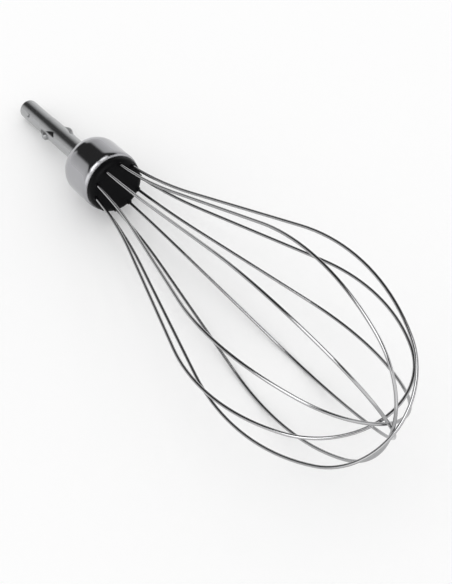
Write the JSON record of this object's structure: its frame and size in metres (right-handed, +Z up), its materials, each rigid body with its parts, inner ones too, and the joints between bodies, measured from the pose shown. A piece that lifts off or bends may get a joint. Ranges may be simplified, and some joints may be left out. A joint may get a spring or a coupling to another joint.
{
  "type": "immersion blender whisk attachment",
  "caption": "Balloon whisk attachment for a hand blender: wire loops held in a plastic hub under a drawn metal cup, with a round drive shaft that has pinched lugs.",
  "frame": {"origin": "on the table, under the middle of the whisk's bounding box as it lies at rest", "axes": "+X along the table from the end of the shaft towards the closed end of the wires, +Z up from the table"},
  "size_m": [0.212, 0.066, 0.0642],
  "materials": {
    "shaft_steel": "bright drawn steel",
    "cup_chrome": "polished",
    "hub_plastic": "semi-gloss black",
    "wire_steel": "bright stainless wire"
  },
  "bodies": {
    "root": {"drive_shaft": "shaft_steel", "ferrule": "cup_chrome", "hub": "hub_plastic", "wire_loop_1": "wire_steel", "wire_loop_2": "wire_steel", "wire_loop_3": "wire_steel", "wire_loop_4": "wire_steel", "wire_loop_5": "wire_steel"}
  },
  "joints": []
}
